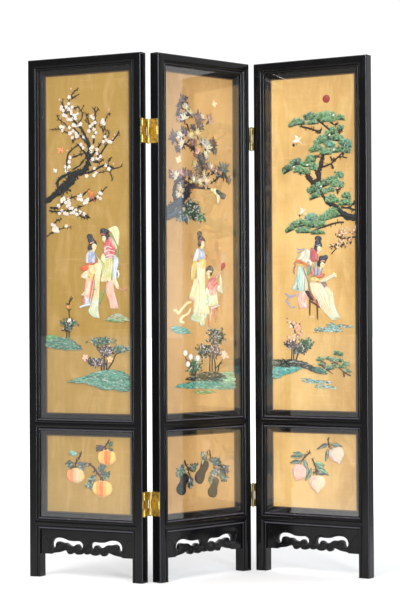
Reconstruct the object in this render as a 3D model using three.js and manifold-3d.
// A three-panel folding screen in black lacquer, with glazed boxes of relief work on silk.
// Units are millimetres, +Z is up and the decorated faces look towards -Y.
// Each panel is drawn in its own frame: x from its left edge, y from its front face, z from the floor.
import * as THREE from 'three';
import { mergeVertices } from 'three/addons/utils/BufferGeometryUtils.js';
import Module from 'manifold-3d';

const wasm = await Module();
wasm.setup();

// One panel.
const panelHeight = 1830;
const panelWidth = 457;
const panelDepth = 40;

// Frame members as seen from the front.
const stileWidth = 42;
const topRailHeight = 42;
const middleRailHeight = 44;
const middleRailBase = 517;
const bottomRailHeight = 43;
const bottomRailBase = 170;

// The moulding, from the sight edge outwards: a bead, a quirk and a quarter round up to the flat.
const beadWidth = 9;
const beadDrop = 2;
const quirkWidth = 2;
const quirkDepth = 5;
const ovoloWidth = 9;
const arrisRadius = 5;
const backChamfer = 2;
const lipDepth = 7.5;
const rebateWidth = 8;

// Tenons that join rails to stiles.
const tenonThickness = 10;
const tenonLength = 22;
const tenonFront = 14;
const middleTenonHeight = 16;
const bottomTenonHeight = 18;
const topTenonHeight = 10;

// The stack behind the lip, from front to back.
const fit = 0.3;
const edgePlay = 0.5;
const glassThickness = 3;
const linerDepth = 16;
const linerRun = 19;
const linerEdge = 1.5;
const silkThickness = 3;
const backThickness = 5;
const reliefThickness = 5;
const fruitThickness = 8;

// The pictures are drawn on sheets of their own and stretched to fill the openings. Here are the
// places of the opening in each drawing, as [left, right, bottom, top].
const upperSheet = [42, 415, 561, 1788];
const lowerSheet = [42, 415, 213, 517];

// The carved apron between the legs.
const apronHeight = 88;
const apronThickness = 16;
const apronSetback = 10;

// Two-way hinges, one pair on each joint between panels.
const hingeGap = 16;
const hingeHeight = 84;
const hingeInset = 271;
const hingeAxisProud = 1.5;
const leafThickness = 2;
const linkThickness = 1.8;
const leafMargin = 1;
const knuckleRadius = 5.2;
const knuckleGap = 0.4;
const pinRadius = 2;
const pinHeadRadius = 3.6;
const pinHeadHeight = 1.6;

// How the screen stands: the turn of the middle panel and the fold of each joint away from flat.
const middleTurn = 45;
const leftFold = 72;
const rightFold = 77;

// Facets of round forms.
const roundSteps = 12;
const arcSteps = 4;

// Places that follow from the sizes above.
const mouldingWidth = beadWidth + quirkWidth + ovoloWidth;
const topSight = panelHeight - topRailHeight;
const middleRailTop = middleRailBase + middleRailHeight;
const bottomRailTop = bottomRailBase + bottomRailHeight;
const rebateLeft = stileWidth - rebateWidth;
const glassFront = lipDepth + fit;
const linerFront = glassFront + glassThickness + fit;
const silkFront = linerFront + linerDepth + fit;
const backFront = silkFront + silkThickness + fit;

const lacquer = new THREE.MeshStandardMaterial({ color: 0x17171a, roughness: 0.28, metalness: 0 });
const linerPaint = new THREE.MeshStandardMaterial({ color: 0x5c5c5e, roughness: 0.4, metalness: 0 });
const glass = new THREE.MeshStandardMaterial({
  color: 0xe8efe9,
  roughness: 0.05,
  metalness: 0,
  transparent: true,
  opacity: 0.15,
});
const silk = new THREE.MeshStandardMaterial({ color: 0xd8ae66, roughness: 0.7, metalness: 0 });
const brass = new THREE.MeshStandardMaterial({ color: 0xc39a3d, roughness: 0.35, metalness: 1 });
const bark = new THREE.MeshStandardMaterial({ color: 0x3a3226, roughness: 0.6, metalness: 0 });
const jade = new THREE.MeshStandardMaterial({ color: 0x2f8a78, roughness: 0.35, metalness: 0 });
const ivory = new THREE.MeshStandardMaterial({ color: 0xe2d6a8, roughness: 0.4, metalness: 0 });
const coral = new THREE.MeshStandardMaterial({ color: 0xd87a3c, roughness: 0.4, metalness: 0 });

// ---------------------------------------------------------------- solids

function solid(geometry) {
  const bare = geometry.index ? geometry.toNonIndexed() : geometry.clone();
  bare.deleteAttribute('normal');
  bare.deleteAttribute('uv');
  const merged = mergeVertices(bare, 1e-4);
  const mesh = new wasm.Mesh({
    numProp: 3,
    vertProperties: new Float32Array(merged.attributes.position.array),
    triVerts: new Uint32Array(merged.index.array),
  });
  return new wasm.Manifold(mesh);
}

function geometryOf(body) {
  const mesh = body.getMesh();
  const geometry = new THREE.BufferGeometry();
  geometry.setAttribute('position', new THREE.BufferAttribute(mesh.vertProperties, 3));
  geometry.setIndex(new THREE.BufferAttribute(mesh.triVerts, 1));
  const faceted = geometry.toNonIndexed();
  faceted.computeVertexNormals();
  return faceted;
}

function joined(bodies) {
  return bodies.reduce((whole, body) => whole.add(body));
}

function block(x0, x1, y0, y1, z0, z1) {
  const geometry = new THREE.BoxGeometry(Math.abs(x1 - x0), y1 - y0, z1 - z0);
  geometry.translate((x0 + x1) / 2, (y0 + y1) / 2, (z0 + z1) / 2);
  return solid(geometry);
}

function outline(points) {
  return new THREE.Shape(points.map(([a, b]) => new THREE.Vector2(a, b)));
}

// A shape drawn in the panel's x-z plane, made solid from y0 to y1.
function frontPrism(shape, y0, y1, curveSegments = arcSteps) {
  const geometry = new THREE.ExtrudeGeometry(shape, {
    depth: y1 - y0,
    bevelEnabled: false,
    curveSegments,
  });
  geometry.rotateX(Math.PI / 2);
  geometry.translate(0, y1, 0);
  return solid(geometry);
}

function upright(radius, x, y, z0, z1, steps = roundSteps) {
  const geometry = new THREE.CylinderGeometry(radius, radius, z1 - z0, steps);
  geometry.rotateX(Math.PI / 2);
  geometry.translate(x, y, (z0 + z1) / 2);
  return solid(geometry);
}

function piece(name, body, material) {
  const mesh = new THREE.Mesh(geometryOf(body), material);
  mesh.name = name;
  return mesh;
}

// ---------------------------------------------------------------- frame members

// Points [distance from the sight edge, depth behind the front face] of the moulded edge.
function mouldedEdge() {
  const points = [[0, lipDepth]];
  const beadSteps = 2 * arcSteps;
  for (let i = 0; i <= beadSteps; i += 1) {
    const angle = (Math.PI * i) / beadSteps;
    const across = (beadWidth / 2) * (1 - Math.cos(angle));
    points.push([across, quirkDepth - (quirkDepth - beadDrop) * Math.sin(angle)]);
  }
  for (let i = 0; i <= arcSteps; i += 1) {
    const angle = (Math.PI / 2) * (i / arcSteps);
    const across = beadWidth + quirkWidth + ovoloWidth * (1 - Math.cos(angle));
    points.push([across, quirkDepth * (1 - Math.sin(angle))]);
  }
  return points;
}

// The rounded outer arris of a member that is `width` wide.
function roundedEdge(width) {
  const points = [];
  for (let i = 0; i <= arcSteps; i += 1) {
    const angle = (Math.PI / 2) * (i / arcSteps);
    const across = width - arrisRadius * (1 - Math.sin(angle));
    points.push([across, arrisRadius * (1 - Math.cos(angle))]);
  }
  return points;
}

// Section of a stile or the top rail: moulded at the sight edge and rounded at the outer edge.
function outerSection(width) {
  return [
    ...mouldedEdge(),
    ...roundedEdge(width),
    [width, panelDepth - backChamfer],
    [width - backChamfer, panelDepth],
    [0, panelDepth],
  ];
}

// A face that is moulded along both edges.
function doubleEdge(width) {
  const far = mouldedEdge().map(([across, depth]) => [width - across, depth]).reverse();
  return [...mouldedEdge(), ...far];
}

// The bottom rail is as deep as the stiles.
function deepSection(width) {
  return [...doubleEdge(width), [width, panelDepth], [0, panelDepth]];
}

// The middle rail is rebated for both panes and stops in front of the boards.
function shallowSection(width) {
  const back = silkFront - fit;
  return [
    ...doubleEdge(width),
    [width - rebateWidth, lipDepth],
    [width - rebateWidth, back],
    [rebateWidth, back],
    [rebateWidth, lipDepth],
  ];
}

// A rail lies along x. Its section is given from its sight edge at zSight, in the direction `up`.
function railBody(section, zSight, up) {
  const shape = outline(section.map(([across, depth]) => [-(zSight + up * across), depth]));
  const geometry = new THREE.ExtrudeGeometry(shape, { depth: panelWidth, bevelEnabled: false });
  geometry.rotateY(Math.PI / 2);
  return solid(geometry);
}

// Mirrors an x for the right-hand side of the panel.
function sideX(side, x) {
  return side === 'left' ? x : panelWidth - x;
}

// The wedge that a 45 degree mitre takes off a corner; `keep` says which member is being cut.
function topMitre(side, keep, offset) {
  const reach = 10;
  const drop = (reach * topRailHeight) / stileWidth;
  const outer = [sideX(side, -reach), panelHeight + drop - offset];
  const inner = [sideX(side, stileWidth + reach), topSight - drop - offset];
  const corner = keep === 'stile'
    ? [sideX(side, stileWidth + reach), panelHeight + drop]
    : [sideX(side, -reach), topSight - drop];
  return frontPrism(outline([outer, inner, corner]), -1, panelDepth + 1);
}

// Front outline of a rail whose moulded edges are mitred into the stiles.
function mitredRailOutline(z0, z1, inset) {
  const tip = stileWidth + inset;
  const root = stileWidth - mouldingWidth + inset;
  const left = [[tip, z1], [root, z1 - mouldingWidth], [root, z0 + mouldingWidth], [tip, z0]];
  const right = left.map(([x, z]) => [panelWidth - x, z]).reverse();
  return outline([...left, ...right]);
}

function tenonBlock(side, xOuter, xInner, zCentre, height, y0, play) {
  const a = sideX(side, xOuter - play);
  const b = sideX(side, xInner);
  return block(
    Math.min(a, b),
    Math.max(a, b),
    y0 - play,
    y0 + tenonThickness + play,
    zCentre - height / 2 - play,
    zCentre + height / 2 + play,
  );
}

// The three rails' tenons, as [outer x, inner x, centre z, height, front y].
const joints = {
  top: [
    stileWidth - tenonLength - topTenonHeight / 2,
    stileWidth + 2,
    topSight + rebateWidth + topTenonHeight / 2 + 1,
    topTenonHeight,
    tenonFront,
  ],
  middle: [
    rebateLeft - tenonLength,
    rebateLeft + 2,
    middleRailBase + middleRailHeight / 2,
    middleTenonHeight,
    tenonFront,
  ],
  bottom: [
    stileWidth - tenonLength,
    stileWidth + 2,
    bottomRailBase + (bottomRailHeight - rebateWidth) / 2,
    bottomTenonHeight,
    tenonFront,
  ],
};

function stile(side) {
  const shape = outline(
    outerSection(stileWidth).map(([across, depth]) => [sideX(side, stileWidth - across), depth]),
  );
  const bar = solid(new THREE.ExtrudeGeometry(shape, { depth: panelHeight, bevelEnabled: false }));
  const middleNotch = mitredRailOutline(middleRailBase, middleRailTop, 0);
  const bottomNotch = mitredRailOutline(bottomRailBase, bottomRailTop, 0);
  const rebateX = [sideX(side, rebateLeft), sideX(side, stileWidth + 1)].sort((a, b) => a - b);
  const cuts = [
    frontPrism(middleNotch, -1, lipDepth),
    frontPrism(bottomNotch, -1, lipDepth),
    topMitre(side, 'stile', fit * Math.SQRT2),
    block(
      rebateX[0],
      rebateX[1],
      lipDepth,
      panelDepth + 1,
      bottomRailTop - rebateWidth,
      topSight + rebateWidth,
    ),
    ...Object.values(joints).map((joint) => tenonBlock(side, ...joint, fit)),
  ];
  return bar.subtract(joined(cuts));
}

function topRail() {
  const bar = railBody(outerSection(topRailHeight), topSight, 1);
  const rebate = block(-1, panelWidth + 1, lipDepth, panelDepth + 1, topSight - 1, topSight + rebateWidth);
  const ends = joined([topMitre('left', 'rail', 0), topMitre('right', 'rail', 0)]);
  const tenons = ['left', 'right'].map((side) => tenonBlock(side, ...joints.top, 0));
  return joined([bar.subtract(rebate).subtract(ends), ...tenons]);
}

function middleRail() {
  const bar = railBody(shallowSection(middleRailHeight), middleRailBase, 1);
  const outlineOfFront = mitredRailOutline(middleRailBase, middleRailTop, fit * Math.SQRT2);
  const front = frontPrism(outlineOfFront, -1, lipDepth);
  const core = block(
    rebateLeft + fit,
    panelWidth - rebateLeft - fit,
    lipDepth - 1,
    panelDepth,
    middleRailBase + rebateWidth,
    middleRailTop - rebateWidth,
  );
  const tenons = ['left', 'right'].map((side) => tenonBlock(side, ...joints.middle, 0));
  return joined([bar.intersect(front.add(core)), ...tenons]);
}

function bottomRail() {
  const bar = railBody(deepSection(bottomRailHeight), bottomRailTop, -1);
  const outlineOfFront = mitredRailOutline(bottomRailBase, bottomRailTop, fit * Math.SQRT2);
  const front = frontPrism(outlineOfFront, -1, lipDepth - fit);
  const core = block(
    stileWidth + fit,
    panelWidth - stileWidth - fit,
    lipDepth - 1,
    panelDepth + 1,
    bottomRailBase - 1,
    bottomRailTop - rebateWidth,
  );
  const tenons = ['left', 'right'].map((side) => tenonBlock(side, ...joints.bottom, 0));
  return joined([bar.intersect(front.add(core)), ...tenons]);
}

// ---------------------------------------------------------------- apron

// Left half of the lower edge, as [x from the panel's middle, z above the apron's end blocks].
const apronScallops = [
  [-143, 0],
  [-139, 3],
  [-126, 5],
  [-108, 8],
  [-94, 13],
  [-84, 14.5],
  [-78, 6],
  [-72, 2.5],
  [-62, 3],
  [-52, 9],
  [-44, 4],
  [-33, 2.5],
  [-22, 4],
  [-12, 9],
  [-6, 5],
];

// Left piercing: a bean with its ends hooked down round carved curls.
const apronPiercing = [
  [-137, 21],
  [-142, 33],
  [-138, 47],
  [-126, 56],
  [-108, 58.5],
  [-88, 55.5],
  [-72, 50],
  [-50, 49],
  [-30, 50],
  [-18, 43],
  [-16, 32],
  [-21, 22],
  [-27, 24],
  [-31, 31],
  [-37, 36],
  [-45, 33],
  [-52, 27],
  [-60, 26],
  [-70, 29],
  [-78, 35],
  [-86, 39],
  [-95, 36],
  [-106, 40],
  [-117, 42],
  [-125, 36],
  [-129, 24],
];

function apron() {
  const middle = panelWidth / 2;
  const top = bottomRailBase - fit;
  const base = top - apronHeight;
  const half = middle - stileWidth - fit;
  const edge = new THREE.Shape();
  const mirrored = apronScallops.map(([x, z]) => [-x, z]).reverse();
  edge.moveTo(middle - half, top);
  edge.lineTo(middle - half, base);
  [...apronScallops, ...mirrored].forEach(([x, z]) => edge.lineTo(middle + x, base + z));
  edge.lineTo(middle + half, base);
  edge.lineTo(middle + half, top);
  [1, -1].forEach((hand) => {
    const hole = apronPiercing.map(([x, z]) => new THREE.Vector2(middle + hand * x, base + z));
    edge.holes.push(new THREE.Path(hole));
  });
  return frontPrism(edge, apronSetback, apronSetback + apronThickness);
}

// ---------------------------------------------------------------- glazing and boards

// Rebated opening as [x0, x1, z0, z1], with play all round.
function opening(z0, z1) {
  return [
    rebateLeft + edgePlay,
    panelWidth - rebateLeft - edgePlay,
    z0 - rebateWidth + edgePlay,
    z1 + rebateWidth - edgePlay,
  ];
}

function pane(z0, z1) {
  const [x0, x1, low, high] = opening(z0, z1);
  return block(x0, x1, glassFront, glassFront + glassThickness, low, high);
}

// A mitred frame whose face slopes from the sight edge back to the silk.
function liner(z0, z1) {
  const [x0, x1, low, high] = opening(z0, z1);
  const shoulder = rebateWidth - edgePlay;
  const section = [
    [0, linerFront],
    [shoulder, linerFront],
    [shoulder + linerRun, linerFront + linerDepth - linerEdge],
    [shoulder + linerRun, linerFront + linerDepth],
    [0, linerFront + linerDepth],
  ];
  const corners = [[1, 1], [-1, 1], [-1, -1], [1, -1]];
  const positions = [];
  corners.forEach(([signX, signZ]) => {
    section.forEach(([inset, y]) => {
      positions.push(signX > 0 ? x0 + inset : x1 - inset, y, signZ > 0 ? low + inset : high - inset);
    });
  });
  const count = section.length;
  const index = [];
  corners.forEach((_, i) => {
    section.forEach((__, j) => {
      const a = i * count + j;
      const b = i * count + ((j + 1) % count);
      const c = ((i + 1) % corners.length) * count + ((j + 1) % count);
      const d = ((i + 1) % corners.length) * count + j;
      index.push(a, c, b, a, d, c);
    });
  });
  const geometry = new THREE.BufferGeometry();
  geometry.setAttribute('position', new THREE.Float32BufferAttribute(positions, 3));
  geometry.setIndex(index);
  return solid(geometry);
}

function board(y0, thickness) {
  const [x0, x1, low, high] = opening(bottomRailTop, topSight);
  return block(x0, x1, y0, y0 + thickness, low, high);
}

// ---------------------------------------------------------------- relief work

function relief(shape, thickness = reliefThickness, segments = 3) {
  const back = silkFront - fit;
  return frontPrism(shape, back - thickness, back, segments);
}

// A branch: a tapering strip along a bent line.
function branch([path, startWidth, endWidth]) {
  const last = path.length - 1;
  const left = [];
  const right = [];
  path.forEach(([x, z], i) => {
    const [ax, az] = path[Math.max(i - 1, 0)];
    const [bx, bz] = path[Math.min(i + 1, last)];
    const length = Math.hypot(bx - ax, bz - az);
    const half = (startWidth + (endWidth - startWidth) * (i / last)) / 2;
    const nx = (-(bz - az) / length) * half;
    const nz = ((bx - ax) / length) * half;
    left.push([x + nx, z + nz]);
    right.push([x - nx, z - nz]);
  });
  return relief(outline([...left, ...right.reverse()]));
}

// Stretches a drawn relief to an opening and trims it to the silk that shows inside the liner.
function picture(drawn, [drawnLeft, drawnRight, drawnBottom, drawnTop], z0, z1) {
  const scaleX = (panelWidth - 2 * stileWidth) / (drawnRight - drawnLeft);
  const scaleZ = (z1 - z0) / (drawnTop - drawnBottom);
  const geometry = geometryOf(drawn);
  geometry.translate(-drawnLeft, 0, -drawnBottom);
  geometry.scale(scaleX, 1, scaleZ);
  geometry.translate(stileWidth, 0, z0);
  const inset = linerRun + fit;
  const left = stileWidth + inset;
  const shown = block(left, panelWidth - left, 0, panelDepth, z0 + inset, z1 - inset);
  return solid(geometry).intersect(shown);
}

function disc([x, z, radius], thickness = reliefThickness, steps = 10) {
  const points = [];
  for (let i = 0; i < steps; i += 1) {
    const angle = (2 * Math.PI * i) / steps;
    points.push([x + radius * Math.cos(angle), z + radius * Math.sin(angle)]);
  }
  return relief(outline(points), thickness);
}

// A fan of foliage or a rounded mound: a scalloped oval.
function clump([x, z, width, height, lobes]) {
  const points = [];
  const steps = lobes * 3;
  for (let i = 0; i < steps; i += 1) {
    const angle = (2 * Math.PI * i) / steps;
    const swell = i % 3 === 0 ? 0.86 : 1;
    points.push([
      x + (width / 2) * swell * Math.cos(angle),
      z + (height / 2) * swell * Math.sin(angle),
    ]);
  }
  return relief(outline(points));
}

function leaf([x, z, length, width, degrees]) {
  const turn = THREE.MathUtils.degToRad(degrees);
  const along = [Math.cos(turn), Math.sin(turn)];
  const at = (u, v) => [x + along[0] * u - along[1] * v, z + along[1] * u + along[0] * v];
  const shape = new THREE.Shape();
  shape.moveTo(...at(0, 0));
  shape.quadraticCurveTo(...at(length / 2, width), ...at(length, 0));
  shape.quadraticCurveTo(...at(length / 2, -width), ...at(0, 0));
  return relief(shape);
}

// A robed lady, standing: x of her middle, z of her hem, height, width of her hem and her lean.
function lady([x, hem, height, hemWidth, lean]) {
  const at = (across, up) => [x + across * height + lean * up * height, hem + up * height];
  const spread = hemWidth / height / 2;
  const robe = new THREE.Shape();
  robe.moveTo(...at(-spread, 0));
  robe.lineTo(...at(spread, 0));
  robe.quadraticCurveTo(...at(spread * 0.9, 0.2), ...at(0.09, 0.5));
  robe.lineTo(...at(0.17, 0.6));
  robe.quadraticCurveTo(...at(0.14, 0.78), ...at(0.04, 0.84));
  robe.lineTo(...at(-0.04, 0.84));
  robe.quadraticCurveTo(...at(-0.14, 0.78), ...at(-0.17, 0.6));
  robe.lineTo(...at(-0.09, 0.5));
  robe.quadraticCurveTo(...at(-spread * 0.9, 0.2), ...at(-spread, 0));
  const head = disc([...at(0, 0.885), height * 0.055]);
  const bun = disc([...at(-0.01, 0.955), height * 0.04]);
  return joined([relief(robe), head, bun]);
}

function plumTree() {
  const branches = [
    [[[50, 1312], [95, 1345], [135, 1390], [180, 1420], [232, 1487], [240, 1560]], 34, 12],
    [[[240, 1540], [215, 1620], [195, 1680], [190, 1728]], 12, 4],
    [[[180, 1420], [135, 1470], [95, 1500], [80, 1580]], 22, 6],
    [[[135, 1470], [140, 1560], [125, 1620], [122, 1685]], 12, 4],
    [[[232, 1487], [285, 1540], [315, 1600], [320, 1650]], 16, 4],
    [[[285, 1540], [330, 1545], [355, 1580]], 8, 4],
    [[[232, 1487], [290, 1470], [340, 1470], [375, 1450]], 12, 4],
    [[[50, 1300], [120, 1300], [180, 1350], [240, 1385], [305, 1385]], 16, 5],
    [[[70, 1330], [72, 1290]], 20, 14],
  ];
  const blossoms = [
    [190, 1728, 10], [205, 1650, 10], [122, 1685, 10], [138, 1590, 10], [80, 1580, 10],
    [320, 1650, 10], [355, 1580, 10], [375, 1450, 10], [305, 1540, 10], [290, 1478, 10],
    [305, 1385, 10], [240, 1392, 10], [95, 1510, 10], [240, 1570, 10],
  ];
  return joined([...branches.map(branch), ...blossoms.map((spot) => disc(spot, reliefThickness, 6))]);
}

function magnoliaTree() {
  const branches = [
    [[[50, 1250], [95, 1300], [125, 1325], [145, 1370], [205, 1500], [210, 1560]], 36, 12],
    [[[205, 1500], [170, 1580], [135, 1655]], 12, 5],
    [[[210, 1550], [235, 1620], [275, 1660]], 10, 4],
    [[[205, 1500], [280, 1540], [345, 1560]], 14, 4],
    [[[165, 1410], [250, 1430], [330, 1440], [375, 1425]], 16, 4],
    [[[145, 1370], [100, 1420], [72, 1470]], 14, 4],
    [[[125, 1325], [190, 1330], [235, 1300]], 12, 5],
  ];
  const blossoms = [
    [135, 1655, 11], [165, 1590, 11], [275, 1660, 11], [235, 1615, 11], [345, 1560, 11],
    [280, 1545, 11], [375, 1425, 11], [320, 1445, 11], [72, 1470, 11], [210, 1565, 11],
    [255, 1430, 11],
  ];
  return joined([
    ...branches.map(branch),
    ...blossoms.map((spot) => disc(spot, reliefThickness, 6)),
    clump([215, 1290, 70, 60, 6]),
  ]);
}

function pineTree() {
  const branches = [
    [[[405, 1250], [335, 1300], [275, 1345], [245, 1400], [230, 1440]], 30, 18],
    [[[230, 1440], [290, 1470], [300, 1500], [255, 1600]], 18, 8],
    [[[275, 1345], [215, 1325], [170, 1275]], 12, 6],
    [[[245, 1400], [190, 1420], [150, 1440]], 10, 6],
    [[[335, 1300], [365, 1335]], 12, 8],
  ];
  const fans = [
    [235, 1610, 220, 56, 9],
    [300, 1545, 165, 66, 8],
    [165, 1440, 150, 56, 7],
    [285, 1370, 145, 76, 7],
    [360, 1325, 100, 54, 6],
    [220, 1270, 215, 60, 9],
  ];
  return joined([...branches.map(branch), ...fans.map(clump)]);
}

function figuresOnLeft() {
  return joined([
    lady([245, 915, 305, 105, -0.02]),
    lady([315, 905, 330, 110, -0.03]),
    branch([[[322, 1170], [348, 1205], [366, 1175], [372, 1110]], 16, 12]),
  ]);
}

function figuresInMiddle() {
  return joined([
    lady([195, 895, 330, 130, 0.06]),
    lady([295, 930, 170, 90, -0.03]),
    branch([[[215, 1060], [255, 1045], [290, 1030]], 16, 14]),
  ]);
}

function figuresOnRight() {
  return joined([
    lady([215, 930, 265, 120, 0.02]),
    lady([275, 900, 235, 130, -0.06]),
    branch([[[120, 965], [165, 985], [220, 1000]], 10, 16]),
    branch([[[275, 935], [320, 915], [345, 895]], 14, 8]),
  ]);
}

function gardenOnLeft() {
  return joined([
    clump([140, 825, 150, 48, 7]),
    clump([235, 690, 165, 50, 8]),
    clump([330, 675, 120, 56, 7]),
    branch([[[205, 690], [225, 760], [200, 830]], 12, 6]),
    branch([[[270, 690], [268, 770], [290, 840]], 12, 6]),
    branch([[[350, 680], [345, 750], [365, 790]], 12, 6]),
    clump([205, 830, 90, 40, 6]),
    clump([290, 850, 80, 46, 6]),
    clump([355, 795, 70, 46, 6]),
  ]);
}

function gardenInMiddle() {
  return joined([
    clump([205, 705, 190, 44, 8]),
    clump([235, 668, 300, 44, 10]),
    branch([[[255, 700], [262, 770], [245, 850]], 16, 6]),
    clump([275, 780, 90, 60, 7]),
    clump([255, 850, 76, 50, 6]),
    branch([[[165, 705], [150, 745], [155, 790]], 8, 4]),
    clump([160, 780, 70, 46, 6]),
  ]);
}

function gardenOnRight() {
  return joined([
    clump([180, 740, 210, 44, 8]),
    clump([270, 700, 150, 32, 7]),
    branch([[[165, 745], [170, 800], [190, 870]], 10, 5]),
    clump([165, 820, 80, 60, 6]),
    clump([185, 870, 60, 44, 6]),
    branch([[[290, 705], [310, 760]], 12, 6]),
    clump([305, 765, 120, 50, 7]),
  ]);
}

// A spray of three fruits: discs for the fruits, leaves round them and the twigs between.
function spray(fruits, twigs, leaves) {
  return joined([
    ...fruits.map((spot) => disc(spot, fruitThickness, 16)),
    ...twigs.map(branch),
    ...leaves.map(leaf),
  ]);
}

function persimmons() {
  return spray(
    [[182, 366, 31], [308, 428, 30], [288, 318, 34]],
    [[[[182, 395], [215, 430], [262, 412], [308, 440]], 8, 6], [[[262, 412], [270, 360], [288, 340]], 7, 6]],
    [[215, 428, 62, 26, 115], [225, 425, 56, 24, 50], [262, 405, 52, 24, -150], [285, 432, 50, 22, 70]],
  );
}

function gourds() {
  return joined([
    clump([140, 345, 58, 100, 8]),
    clump([232, 365, 62, 100, 8]),
    clump([290, 310, 60, 105, 8]),
    branch([[[140, 385], [180, 430], [232, 405], [290, 350]], 9, 7]),
    leaf([180, 430, 62, 28, 130]),
    leaf([200, 420, 60, 28, 40]),
    leaf([250, 395, 52, 24, 60]),
  ]);
}

function peaches() {
  return spray(
    [[170, 358, 30], [240, 318, 32], [308, 416, 30]],
    [[[[170, 380], [205, 405], [255, 392], [308, 425]], 8, 6], [[[230, 398], [240, 360], [240, 335]], 7, 6]],
    [[205, 405, 60, 24, 120], [225, 400, 56, 24, 55], [215, 385, 60, 22, -120], [280, 408, 52, 22, -60]],
  );
}

// ---------------------------------------------------------------- hinges

// One leaf of a two-way hinge, on the edge of a panel. `edge` is 'left' or 'right'; `axisAt` says
// whether the panels turn about the front or the back corner; `thirds` lists the thirds of the
// height where this leaf carries a link plate with a knuckle at either end.
function hingeLeaf(edge, axisAt, thirds, zCentre) {
  const out = (u) => (edge === 'right' ? panelWidth + u : -u);
  const spanX = (u0, u1) => [out(u0), out(u1)].sort((a, b) => a - b);
  const third = hingeHeight / 3;
  const low = zCentre - hingeHeight / 2;
  const frontAxis = -hingeAxisProud;
  const backAxis = panelDepth + hingeAxisProud;
  const y0 = leafMargin;
  const y1 = panelDepth - leafMargin;
  const face = fit + leafThickness;
  const parts = [block(...spanX(fit, face), y0, y1, low, low + hingeHeight)];
  thirds.forEach((k) => {
    const z0 = low + k * third + knuckleGap / 2;
    const z1 = low + (k + 1) * third - knuckleGap / 2;
    parts.push(block(...spanX(face - 0.5, face + linkThickness), y0, y1, z0, z1));
    [frontAxis, backAxis].forEach((y) => {
      parts.push(upright(knuckleRadius, out(hingeGap / 2), y, z0, z1));
    });
  });
  const boreY = axisAt === 'front' ? frontAxis : backAxis;
  const bore = upright(pinRadius + fit, out(hingeGap / 2), boreY, low - 1, low + hingeHeight + 1);
  return joined(parts).subtract(bore);
}

function hingePin(edge, axisAt, zCentre) {
  const x = edge === 'right' ? panelWidth + hingeGap / 2 : -hingeGap / 2;
  const y = axisAt === 'front' ? -hingeAxisProud : panelDepth + hingeAxisProud;
  const half = hingeHeight / 2 + fit;
  const profile = [
    [0, -half - pinHeadHeight],
    [pinHeadRadius * 0.7, -half - pinHeadHeight],
    [pinHeadRadius, -half - pinHeadHeight * 0.4],
    [pinHeadRadius, -half],
    [pinRadius, -half],
    [pinRadius, half],
    [pinHeadRadius, half],
    [pinHeadRadius, half + pinHeadHeight * 0.4],
    [pinHeadRadius * 0.7, half + pinHeadHeight],
    [0, half + pinHeadHeight],
  ].map(([r, z]) => new THREE.Vector2(r, z));
  const geometry = new THREE.LatheGeometry(profile, roundSteps);
  geometry.rotateX(Math.PI / 2);
  geometry.translate(x, y, zCentre);
  return solid(geometry);
}

// ---------------------------------------------------------------- panels

const reliefs = {
  left: [plumTree, figuresOnLeft, gardenOnLeft, persimmons],
  middle: [magnoliaTree, figuresInMiddle, gardenInMiddle, gourds],
  right: [pineTree, figuresOnRight, gardenOnRight, peaches],
};

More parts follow.
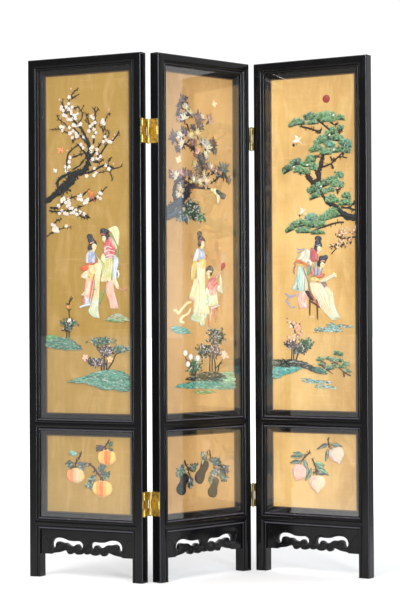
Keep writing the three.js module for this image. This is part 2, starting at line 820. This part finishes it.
function panel(place) {
  const group = new THREE.Group();
  const [tree, figures, garden, fruit] = reliefs[place];
  const upper = (draw) => picture(draw(), upperSheet, middleRailTop, topSight);
  const lower = (draw) => picture(draw(), lowerSheet, bottomRailTop, middleRailBase);
  group.add(
    piece(`${place}_stile_left`, stile('left'), lacquer),
    piece(`${place}_stile_right`, stile('right'), lacquer),
    piece(`${place}_top_rail`, topRail(), lacquer),
    piece(`${place}_middle_rail`, middleRail(), lacquer),
    piece(`${place}_bottom_rail`, bottomRail(), lacquer),
    piece(`${place}_apron`, apron(), lacquer),
    piece(`${place}_upper_glass`, pane(middleRailTop, topSight), glass),
    piece(`${place}_lower_glass`, pane(bottomRailTop, middleRailBase), glass),
    piece(`${place}_upper_liner`, liner(middleRailTop, topSight), linerPaint),
    piece(`${place}_lower_liner`, liner(bottomRailTop, middleRailBase), linerPaint),
    piece(`${place}_silk_board`, board(silkFront, silkThickness), silk),
    piece(`${place}_back_board`, board(backFront, backThickness), lacquer),
    piece(`${place}_tree_relief`, upper(tree), bark),
    piece(`${place}_figures_relief`, upper(figures), ivory),
    piece(`${place}_garden_relief`, upper(garden), jade),
    piece(`${place}_fruit_relief`, lower(fruit), coral),
  );
  return group;
}

const leftPanel = panel('left');
const middlePanel = panel('middle');
const rightPanel = panel('right');

// The joint at the left turns about the back corners, the one at the right about the front corners.
// Outer and middle thirds of a hinge belong to the two panels in turn.
const hingeLevels = { lower: hingeInset, upper: panelHeight - hingeInset };
Object.entries(hingeLevels).forEach(([level, z]) => {
  leftPanel.add(
    piece(`hinge_left_${level}_outer_leaf`, hingeLeaf('right', 'back', [0, 2], z), brass),
    piece(`hinge_left_${level}_pin`, hingePin('right', 'back', z), brass),
  );
  middlePanel.add(
    piece(`hinge_left_${level}_inner_leaf`, hingeLeaf('left', 'back', [1], z), brass),
    piece(`hinge_right_${level}_inner_leaf`, hingeLeaf('right', 'front', [1], z), brass),
  );
  rightPanel.add(
    piece(`hinge_right_${level}_outer_leaf`, hingeLeaf('left', 'front', [0, 2], z), brass),
    piece(`hinge_right_${level}_pin`, hingePin('left', 'front', z), brass),
  );
});

// Each side panel hangs from a pivot on the middle panel and is folded away from flat.
function hang(side, pivotX, pivotY, fold) {
  const pivot = new THREE.Group();
  pivot.position.set(pivotX, pivotY, 0);
  pivot.rotation.z = THREE.MathUtils.degToRad(-fold);
  const ownX = pivotX < 0 ? panelWidth + hingeGap / 2 : -hingeGap / 2;
  side.position.set(-ownX, -pivotY, 0);
  pivot.add(side);
  return pivot;
}

const standing = new THREE.Group();
standing.rotation.z = THREE.MathUtils.degToRad(middleTurn);
standing.add(
  middlePanel,
  hang(leftPanel, -hingeGap / 2, panelDepth + hingeAxisProud, leftFold),
  hang(rightPanel, panelWidth + hingeGap / 2, -hingeAxisProud, rightFold),
);

// The origin is on the floor, under the middle of the screen as it stands.
const screen = new THREE.Group();
screen.add(standing);
screen.updateMatrixWorld(true);
const bounds = new THREE.Box3().setFromObject(screen, true);
const centre = bounds.getCenter(new THREE.Vector3());
standing.position.set(-centre.x, -centre.y, -bounds.min.z);
screen.updateMatrixWorld(true);

export default screen;
